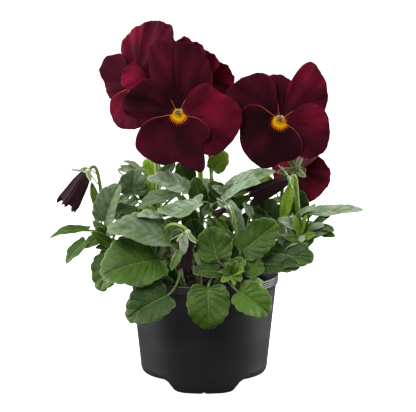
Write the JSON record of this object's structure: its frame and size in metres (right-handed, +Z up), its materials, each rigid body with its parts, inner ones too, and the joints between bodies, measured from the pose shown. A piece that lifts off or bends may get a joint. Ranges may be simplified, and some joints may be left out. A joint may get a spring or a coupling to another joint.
{
  "type": "potted pansy planter",
  "caption": "Round footed nursery pot filled with soil, holding a leafy pansy plant with open blooms and nodding buds.",
  "frame": {"origin": "centre of the pot's base, on the surface that the pot stands on", "axes": "+Z up along the pot's axis; the open blooms look towards -Y; +X to the right of a viewer in front"},
  "size_m": [0.2208, 0.142, 0.2567],
  "materials": {
    "pot_plastic": "satin black moulded plastic",
    "soil_peat": "moist crumbly peat",
    "leaf_green": "soft matte leaf with a slight sheen",
    "petal_red": "velvety matte petal",
    "bud_purple": "velvety matte folded petal",
    "pistil_green": "smooth and slightly moist"
  },
  "bodies": {
    "root": {"pot": "pot_plastic", "soil": "soil_peat", "leafy_stem_front": "leaf_green", "leafy_stem_front_right": "leaf_green", "leafy_stem_front_left": "leaf_green", "leafy_stem_left": "leaf_green", "leafy_stem_centre": "leaf_green", "leafy_stem_right": "leaf_green", "leafy_stem_back_left": "leaf_green", "leafy_stem_back_right": "leaf_green", "leafy_stem_back": "leaf_green", "bloom_front_petals": "petal_red", "bloom_front_pistil": "pistil_green", "bloom_right_petals": "petal_red", "bloom_right_pistil": "pistil_green", "bloom_left_petals": "petal_red", "bloom_left_pistil": "pistil_green", "bloom_back_petals": "petal_red", "bloom_back_pistil": "pistil_green", "bloom_low_petals": "petal_red", "bloom_low_pistil": "pistil_green", "bud_left_petals": "bud_purple", "bud_centre_petals": "bud_purple", "bud_right_petals": "bud_purple", "bud_small_petals": "bud_purple"}
  },
  "joints": []
}
